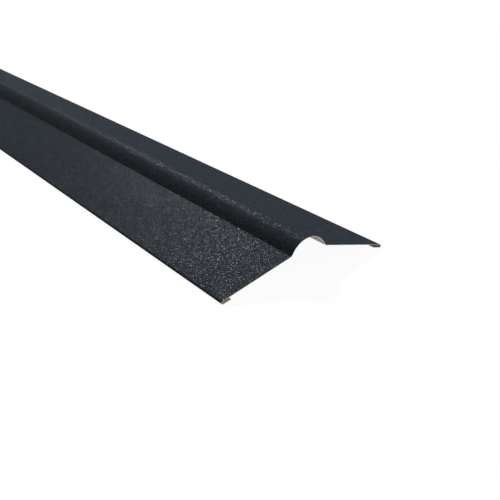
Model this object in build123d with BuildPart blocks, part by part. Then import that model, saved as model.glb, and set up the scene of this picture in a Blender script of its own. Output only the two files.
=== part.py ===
"""Ridge cap: one length of folded steel sheet that covers the ridge of a metal roof.

The sheet runs along X and is bent across Y: a half-round roll in the middle, a flat wing
sloping down on each side, and a hem turned under along each outer edge. It stands on its
two hems, with the origin on that plane, under the middle of the roll.
"""

import os
from math import cos, radians, sin

from build123d import *

# Driving dimensions, in millimetres and degrees. Bends are measured on the coated face,
# which is the top of the wings and the outside of the hems.
cap_length = 2000.0
leg_width = 145.0
sheet_thickness = 0.5
wing_slope = 15.0
crest_radius = 32.5
flank_slope = 55.0
flank_length = 8.0
foot_fold_radius = 1.0
hem_width = 15.0
hem_gap = 4.0

# The hem's bend and the places that follow from it
hem_radius = hem_gap / 2 + sheet_thickness
flange_length = hem_width - hem_radius
hem_centre = Vector(leg_width - hem_radius, hem_radius)
wing_direction = Vector(cos(radians(wing_slope)), -sin(radians(wing_slope)))
wing_normal = Vector(sin(radians(wing_slope)), cos(radians(wing_slope)))
wing_end = hem_centre + wing_normal * hem_radius

# The roll's half width gives the foot, where the roll's flank meets the wing
crest_half_width = crest_radius * sin(radians(flank_slope))
roll_half_width = crest_half_width + flank_length * cos(radians(flank_slope))
wing_width = (wing_end.X - roll_half_width) / wing_direction.X
foot = wing_end - wing_direction * wing_width
crest_end_height = foot.Y + flank_length * sin(radians(flank_slope))
crest_centre = Vector(0, crest_end_height - crest_radius * cos(radians(flank_slope)))

with BuildPart() as ridge_cap:
    with BuildSketch(Plane.YZ) as section:
        with BuildLine() as coated_face:
            crest = CenterArc(crest_centre, crest_radius, 90, -flank_slope)
            flank = Line(crest @ 1, foot)
            wing = Line(flank @ 1, wing_end)
            hem_bend = JernArc(wing @ 1, wing % 1, hem_radius, -180)
            flange = Line(hem_bend @ 1, hem_bend @ 1 + (hem_bend % 1) * flange_length)
            fillet(coated_face.vertices().sort_by_distance(foot)[0], foot_fold_radius)
            offset(amount=sheet_thickness, side=Side.RIGHT)
        make_face()
        mirror(about=Plane.YZ)
    extrude(amount=cap_length / 2, both=True)

ridge_cap.part.label = "ridge_cap"
os.makedirs("parts", exist_ok=True)
export_step(ridge_cap.part, "parts/ridge_cap.step")
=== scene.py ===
"""A ridge cap of coated steel sheet, lying on a pale studio floor, seen from its near cut end."""

from math import cos, radians, sin, tan

import bmesh
import bpy
from mathutils import Matrix, Vector


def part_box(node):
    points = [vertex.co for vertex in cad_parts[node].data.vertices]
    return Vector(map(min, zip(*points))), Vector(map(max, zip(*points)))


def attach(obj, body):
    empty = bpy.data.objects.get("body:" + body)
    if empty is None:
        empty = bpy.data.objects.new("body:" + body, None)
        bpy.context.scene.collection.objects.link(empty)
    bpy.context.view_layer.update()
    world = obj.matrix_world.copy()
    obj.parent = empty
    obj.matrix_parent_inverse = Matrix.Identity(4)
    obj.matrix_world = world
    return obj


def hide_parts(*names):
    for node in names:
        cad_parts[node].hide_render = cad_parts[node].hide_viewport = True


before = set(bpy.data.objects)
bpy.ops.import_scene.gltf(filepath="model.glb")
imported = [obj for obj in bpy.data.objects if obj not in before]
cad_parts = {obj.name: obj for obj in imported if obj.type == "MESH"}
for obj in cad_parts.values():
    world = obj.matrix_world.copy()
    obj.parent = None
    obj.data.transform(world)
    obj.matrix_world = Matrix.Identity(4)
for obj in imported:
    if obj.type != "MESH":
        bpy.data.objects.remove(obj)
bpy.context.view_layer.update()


# Wing and hem
# The cap starts as a flat strip of 0.5 mm steel. Each long edge is first turned under to a
# hem, which stiffens the edge and hides its cut, and the flat beside it becomes the wing.

sheet_thickness = 0.0005
wing_slope = radians(15)
leg_width = 0.145
hem_width = 0.015
hem_gap = 0.004
crest_radius = 0.0325
flank_slope = radians(55)
flank_length = 0.008

low_corner, high_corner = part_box("ridge_cap")
cap_length = high_corner.x - low_corner.x

# One leg of the section, on its coated face, as (across, up) from the middle of the hems' plane
down_wing = Vector((cos(wing_slope), -sin(wing_slope)))
off_wing = Vector((sin(wing_slope), cos(wing_slope)))
hem_radius = hem_gap / 2 + sheet_thickness
hem_centre = Vector((leg_width - hem_radius, hem_radius))
wing_end = hem_centre + off_wing * hem_radius
roll_half_width = crest_radius * sin(flank_slope) + flank_length * cos(flank_slope)
wing_width = (wing_end.x - roll_half_width) / down_wing.x
foot = wing_end - down_wing * wing_width

# A narrow strip of the flat is kept beside each bend, so that the flat is shaded flat
bend_strip = 0.0004
hem_steps = 18
same_place = 0.00001


def in_space(point):
    """A point or direction of the section as one in space, on the left leg, which is at -Y"""
    return Vector((0, -point.x, point.y))


def pick_edges_at(point):
    """Selects the long edge that runs through one point of the section"""
    bpy.ops.mesh.select_mode(type="EDGE")
    bpy.ops.mesh.select_all(action="DESELECT")
    strip = bpy.context.object.data
    mesh = bmesh.from_edit_mesh(strip)
    place = in_space(point)
    for edge in mesh.edges:
        if all((end.co.yz - place.yz).length < same_place for end in edge.verts):
            edge.select_set(True)
    bmesh.update_edit_mesh(strip)


def pull_edge(direction, *lengths):
    """Extrudes the picked edge along the section, by one length after the other"""
    for length in lengths:
        step = in_space(direction * length)
        bpy.ops.mesh.extrude_region_move(TRANSFORM_OT_translate={"value": step})


def bend_edge(centre, angle, steps):
    """Turns the picked edge about a line along the sheet, and leaves a round bend behind it"""
    bpy.ops.mesh.spin(steps=steps, angle=angle, center=in_space(centre), axis=(-1, 0, 0))


bpy.ops.object.select_all(action="DESELECT")
wing_middle = in_space(foot + down_wing * (wing_width / 2))
bpy.ops.mesh.primitive_plane_add(size=1, location=wing_middle, rotation=(wing_slope, 0, 0))
sheet = bpy.context.object
sheet.name = "ridge_cap_sheet"
sheet.scale = (cap_length, wing_width, 1)
bpy.ops.object.transform_apply(location=True, rotation=True, scale=True)

bpy.ops.object.mode_set(mode="EDIT")
for along_wing in (2 * bend_strip, wing_width - bend_strip):
    bpy.ops.mesh.select_all(action="SELECT")
    cut_place = foot + down_wing * along_wing
    bpy.ops.mesh.bisect(plane_co=in_space(cut_place), plane_no=in_space(down_wing))

pick_edges_at(wing_end)
bend_edge(hem_centre, radians(180), hem_steps)
pull_edge(-down_wing, bend_strip, hem_width - hem_radius - bend_strip)


# Roll
# Along the middle the strip is rolled to a half-round bead that clears the ridge batten.
# It rises from a tight fold at the wing's upper edge, by a short flat flank.

foot_fold_radius = 0.001
crest_steps = 22
fold_steps = 4

up_flank = Vector((-cos(flank_slope), sin(flank_slope)))
flank_top = foot + up_flank * flank_length
crest_centre = Vector((0, flank_top.y - crest_radius * cos(flank_slope)))

pick_edges_at(foot)
pull_edge(up_flank, 2 * bend_strip, flank_length - 2 * bend_strip)
bend_edge(crest_centre, -flank_slope, crest_steps)

pick_edges_at(foot)
fold_reach = foot_fold_radius * tan((flank_slope - wing_slope) / 2)
bpy.ops.mesh.bevel(offset_type="OFFSET", offset=fold_reach, segments=fold_steps, affect="EDGES")
bpy.ops.object.mode_set(mode="OBJECT")


# Whole sheet
# Both legs are alike and are one piece through the crest. The coil is coated on its two faces
# before it is slit and cut to length, so the edges that the shears leave are bare.

shear_chamfer = 0.00005
sheared_corner = radians(60)
smooth_bend = radians(35)

bpy.ops.object.modifier_add(type="MIRROR")
other_leg = sheet.modifiers["Mirror"]
other_leg.use_axis = (False, True, False)
other_leg.merge_threshold = same_place
bpy.ops.object.modifier_apply(modifier="Mirror")
bpy.ops.object.mode_set(mode="EDIT")
bpy.ops.mesh.select_all(action="SELECT")
bpy.ops.mesh.normals_make_consistent(inside=False)
bpy.ops.object.mode_set(mode="OBJECT")

finish_names = ("structured_coat", "back_coat", "sheared_edge")
finishes = {name: bpy.data.materials.new(name) for name in finish_names}
for finish in finishes.values():
    finish.use_nodes = True
    sheet.data.materials.append(finish)
inside = finish_names.index("back_coat")
cut = finish_names.index("sheared_edge")

bpy.ops.object.modifier_add(type="SOLIDIFY")
gauge = sheet.modifiers["Solidify"]
gauge.thickness = sheet_thickness
gauge.offset = -1
gauge.use_even_offset = True
gauge.material_offset = inside
gauge.material_offset_rim = cut
bpy.ops.object.modifier_apply(modifier="Solidify")

bpy.ops.object.modifier_add(type="BEVEL")
burr = sheet.modifiers["Bevel"]
burr.width = shear_chamfer
burr.segments = 1
burr.limit_method = "ANGLE"
burr.angle_limit = sheared_corner
burr.material = cut
bpy.ops.object.modifier_apply(modifier="Bevel")
bpy.ops.object.shade_smooth_by_angle(angle=smooth_bend)

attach(sheet, "root")
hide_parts("ridge_cap")


# Structured coat
# The outer face is stoved polyester in anthracite, which dries to fine wrinkles and looks matt.
# Their crests shine faintly, and short lengths of them are smooth and sparkle under a lamp.

anthracite = (0.0312, 0.0374, 0.0462, 1)
anthracite_thin = (0.0336, 0.0399, 0.0483, 1)
coat_roughness = 0.6
coat_gloss = 0
glint_roughness = 0.41
glint_index = 2.45
wrinkle_scale = 360
wrinkle_height = 0.00008
coat_patch_scale = 60
coat_patchiness = 0.06

# The grain that all three finishes share starts at one place on the coil. A crest runs where the
# wrinkles' noise passes its middle. It is faint where the breaks' noise is low, and smooth where it
# is high.
coil_start = (0.37, 0.21, 0)
noise_middle = 0.5
crest_width = 0.08
breaks_per_wrinkle = 1.8
break_range = (0.57, 0.69)
faint_crest = 0.013
smooth_crest = 0.38
patch_range = (0.35, 0.65)
wrinkle_layers = {"Detail": 1, "Roughness": 0.5}
break_layers = {"Detail": 2, "Roughness": 0.6}
patch_layers = {"Detail": 3, "Roughness": 0.6}


def add_node(tree, kind, **inputs):
    """A new node, with each named input set to a value or joined to another node's output"""
    node = tree.nodes.new(kind)
    for name, given_value in inputs.items():
        socket = node.inputs[name.replace("_", " ")]
        if isinstance(given_value, bpy.types.NodeSocket):
            tree.links.new(given_value, socket)
        else:
            socket.default_value = given_value
    return node


def add_noise(tree, place, scale, layers):
    """A soft noise between 0 and 1 at one scale, with finer layers of it added"""
    return add_node(tree, "ShaderNodeTexNoise", Vector=place, Scale=scale, **layers).outputs["Fac"]


def map_range(tree, value, low, high, to_low, to_high):
    """Stretches one range of a value to another, and holds it at the ends"""
    ends = {"From_Min": low, "From_Max": high, "To_Min": to_low, "To_Max": to_high}
    return add_node(tree, "ShaderNodeMapRange", Value=value, **ends).outputs["Result"]


def work_out(tree, operation, *values):
    """One sum on numbers or on other nodes' outputs"""
    node = tree.nodes.new("ShaderNodeMath")
    node.operation = operation
    for socket, given_value in zip(node.inputs, values):
        if isinstance(given_value, bpy.types.NodeSocket):
            tree.links.new(given_value, socket)
        else:
            socket.default_value = given_value
    return node.outputs["Value"]


def open_group(name, inputs, outputs):
    """A new shader group with named sockets, and the sockets where they come in and go out"""
    group = bpy.data.node_groups.new(name, "ShaderNodeTree")
    for direction, sockets in (("INPUT", inputs), ("OUTPUT", outputs)):
        for socket_name, socket_type in sockets.items():
            group.interface.new_socket(socket_name, in_out=direction, socket_type=socket_type)
    coming_in = group.nodes.new("NodeGroupInput").outputs
    going_out = group.nodes.new("NodeGroupOutput").inputs
    return group, coming_in, going_out


grain, given, result = open_group(
    "fine_grain",
    {
        "Place": "NodeSocketVector",
        "Grain Scale": "NodeSocketFloat",
        "Patch Scale": "NodeSocketFloat",
        "Patchiness": "NodeSocketFloat",
    },
    {"Relief": "NodeSocketFloat", "Tops": "NodeSocketFloat", "Patches": "NodeSocketFloat"},
)
wrinkles = add_noise(grain, given["Place"], given["Grain Scale"], wrinkle_layers)
off_crest = work_out(grain, "ABSOLUTE", work_out(grain, "SUBTRACT", wrinkles, noise_middle))
crests = map_range(grain, off_crest, 0, crest_width, 1, 0)
grain.links.new(crests, result["Relief"])

patches = add_noise(grain, given["Place"], given["Patch Scale"], patch_layers)
off_middle = work_out(grain, "SUBTRACT", patches, noise_middle)
patch_lift = work_out(grain, "MULTIPLY", off_middle, given["Patchiness"])
grain.links.new(patches, result["Patches"])

break_scale = work_out(grain, "MULTIPLY", given["Grain Scale"], breaks_per_wrinkle)
breaks = add_noise(grain, given["Place"], break_scale, break_layers)
patchy_breaks = work_out(grain, "ADD", breaks, patch_lift)
smoothness = map_range(grain, patchy_breaks, *break_range, faint_crest, smooth_crest)
grain.links.new(work_out(grain, "MULTIPLY", crests, smoothness), result["Tops"])


def add_grain(tree, grain_scale, patch_scale, patchiness, stretch=(1, 1, 1)):
    """The shared grain in one finish, finer or coarser, and stretched as the finish was drawn out"""
    place = add_node(tree, "ShaderNodeTexCoord").outputs["Object"]
    mapping = add_node(tree, "ShaderNodeMapping", Vector=place, Scale=stretch, Location=coil_start)
    node = tree.nodes.new("ShaderNodeGroup")
    node.node_tree = grain
    tree.links.new(mapping.outputs["Vector"], node.inputs["Place"])
    node.inputs["Grain Scale"].default_value = grain_scale
    node.inputs["Patch Scale"].default_value = patch_scale
    node.inputs["Patchiness"].default_value = patchiness
    return node.outputs


def shade_colour(tree, shader, patchy, colour, other_colour):
    """Shades the base colour from one to another by the patches, and gives the share of the other"""
    share = map_range(tree, patchy, *patch_range, 0, 1)
    tint = add_node(tree, "ShaderNodeMixRGB", Fac=share, Color1=colour, Color2=other_colour)
    tree.links.new(tint.outputs["Color"], shader.inputs["Base Color"])
    return share


def raise_relief(tree, shader, crests, height):
    """Lifts the surface along the crests, by one height"""
    relief = add_node(tree, "ShaderNodeBump", Strength=1, Distance=height, Height=crests)
    tree.links.new(relief.outputs["Normal"], shader.inputs["Normal"])


tree = finishes["structured_coat"].node_tree
coat = tree.nodes["Principled BSDF"]
wrinkled = add_grain(tree, wrinkle_scale, coat_patch_scale, coat_patchiness)
shade_colour(tree, coat, wrinkled["Patches"], anthracite, anthracite_thin)
tree.links.new(wrinkled["Tops"], coat.inputs["Coat Weight"])
raise_relief(tree, coat, wrinkled["Relief"], wrinkle_height)
coat.inputs["Roughness"].default_value = coat_roughness
coat.inputs["Specular IOR Level"].default_value = coat_gloss
coat.inputs["Coat Roughness"].default_value = glint_roughness
coat.inputs["Coat IOR"].default_value = glint_index


# Back coat
# The underside has only a thin backing lacquer, pale beige and without grain.
# The roller that laid it on left faint streaks along the coil, where it is thinner and duller.

lacquer = (0.75, 0.70, 0.61, 1)
lacquer_thin = (0.67, 0.62, 0.535, 1)
lacquer_roughness = (0.42, 0.56)
lacquer_gloss = 0.35
streak_scale = 260
streak_height = 0.00001
streak_stretch = (0.03, 1, 1)
lacquer_patch_scale = 90
lacquer_patchiness = 0

tree = finishes["back_coat"].node_tree
back = tree.nodes["Principled BSDF"]
streaked = add_grain(tree, streak_scale, lacquer_patch_scale, lacquer_patchiness, streak_stretch)
thinness = shade_colour(tree, back, streaked["Patches"], lacquer, lacquer_thin)
tree.links.new(map_range(tree, thinness, 0, 1, *lacquer_roughness), back.inputs["Roughness"])
raise_relief(tree, back, streaked["Relief"], streak_height)
back.inputs["Specular IOR Level"].default_value = lacquer_gloss


# Sheared edges
# The shears leave the steel and its zinc bare, torn in fine lines from one face to the other.
# The steel dulls soon, so the cut shines only where a line is fresh.

zinc = (0.76, 0.74, 0.69, 1)
dull_steel = (0.60, 0.58, 0.535, 1)
edge_roughness = (0.38, 0.6)
edge_metal = (0.55, 0.85)
tear_scale = 3000
tear_height = 0.00003
tear_stretch = (1, 0.35, 0.35)
edge_patch_scale = 400
edge_patchiness = 0

tree = finishes["sheared_edge"].node_tree
edge = tree.nodes["Principled BSDF"]
torn = add_grain(tree, tear_scale, edge_patch_scale, edge_patchiness, tear_stretch)
dullness = shade_colour(tree, edge, torn["Patches"], zinc, dull_steel)
tree.links.new(map_range(tree, dullness, 0, 1, *edge_roughness), edge.inputs["Roughness"])
shine = map_range(tree, torn["Tops"], 0, smooth_crest, *edge_metal)
tree.links.new(shine, edge.inputs["Metallic"])
raise_relief(tree, edge, torn["Relief"], tear_height)


# Studio
# A soft box far behind the cap gives the left wing and the roll's shoulder their sheen. A smaller
# one stands to the right, and a warm one low behind the left. The floor lights the underside.

near_end = Vector((high_corner.x, 0, foot.y))
white = (1, 1, 1, 1)
air_level = 0.06
floor_grey = (0.82, 0.82, 0.82, 1)
floor_glow = 1.03
glow_share = 0.92
floor_radius = 60
floor_corners = 128


def seen_rays(tree):
    """1 where the camera sees a surface, straight or in a gloss or through glass, and 0 elsewhere"""
    rays = add_node(tree, "ShaderNodeLightPath").outputs
    straight_or_gloss = work_out(tree, "MAXIMUM", rays["Is Camera Ray"], rays["Is Glossy Ray"])
    return work_out(tree, "MAXIMUM", straight_or_gloss, rays["Is Transmission Ray"])


world = bpy.data.worlds.new("studio_air")
bpy.context.scene.world = world
world.use_nodes = True
tree = world.node_tree
air = tree.nodes["Background"]
tree.links.new(map_range(tree, seen_rays(tree), 0, 1, air_level, 1), air.inputs["Strength"])
air.inputs["Color"].default_value = white

bpy.ops.mesh.primitive_circle_add(vertices=floor_corners, radius=floor_radius, fill_type="NGON")
floor = bpy.context.object
floor.name = "studio_floor"
floor_finish = bpy.data.materials.new("pale_floor")
floor.data.materials.append(floor_finish)
floor_finish.use_nodes = True
tree = floor_finish.node_tree
tree.nodes.remove(tree.nodes["Principled BSDF"])
matte = add_node(tree, "ShaderNodeBsdfDiffuse", Color=floor_grey)
glow = add_node(tree, "ShaderNodeEmission", Color=white, Strength=floor_glow)
seen_share = map_range(tree, seen_rays(tree), 0, 1, 0, glow_share)
seen = add_node(tree, "ShaderNodeMixShader", Fac=seen_share)
tree.links.new(matte.outputs["BSDF"], seen.inputs[1])
tree.links.new(glow.outputs["Emission"], seen.inputs[2])
tree.links.new(seen.outputs["Shader"], tree.nodes["Material Output"].inputs["Surface"])


def hang_lamp(name, direction, distance, width, power, colour):
    """A square soft box that faces the near end, from one direction"""
    bpy.ops.object.light_add(type="AREA", location=near_end + distance * direction)
    lamp = bpy.context.object
    lamp.name = name
    lamp.rotation_euler = direction.to_track_quat("Z", "Y").to_euler()
    lamp.data.size = width
    lamp.data.energy = power
    lamp.data.color = colour
    lamp.visible_camera = False


hang_lamp(
    "back_lamp",
    direction=Vector((-0.775, 0.305, 0.553)),
    distance=14,
    width=2.45,
    power=2100,
    colour=(0.9, 0.955, 1),
)
hang_lamp(
    "right_lamp",
    direction=Vector((0.45, 0.68, 0.58)),
    distance=6,
    width=1.6,
    power=105,
    colour=(1, 1, 1),
)
hang_lamp(
    "low_lamp",
    direction=Vector((-0.94, -0.29, 0.175)),
    distance=10,
    width=2,
    power=125,
    colour=(1, 0.8, 0.62),
)

# The camera looks down at the near end from its left. It stands a little aside, so that the end is
# right of the picture's middle.
camera_azimuth = radians(52.251)
camera_elevation = radians(25.517)
camera_roll = radians(0.744)
camera_distance = 0.937288
camera_right = -0.079742
camera_up = 0.00119
aim_height = 0.03469
lens_length = 50
sensor_width = 36

back_ward = Vector((
    sin(camera_azimuth) * cos(camera_elevation),
    -cos(camera_azimuth) * cos(camera_elevation),
    sin(camera_elevation),
))
level_right = Vector((cos(camera_azimuth), sin(camera_azimuth), 0))
level_up = back_ward.cross(level_right)
right_ward = cos(camera_roll) * level_right + sin(camera_roll) * level_up
up_ward = cos(camera_roll) * level_up - sin(camera_roll) * level_right
camera_place = Vector((high_corner.x, 0, aim_height)) + back_ward * camera_distance
camera_place += right_ward * camera_right + up_ward * camera_up
bpy.ops.object.camera_add(location=camera_place)
camera = bpy.context.object
camera.rotation_euler = Matrix((right_ward, up_ward, back_ward)).transposed().to_euler()
camera.data.lens = lens_length
camera.data.sensor_width = sensor_width
bpy.context.scene.camera = camera

bpy.context.scene.view_settings.view_transform = "Standard"
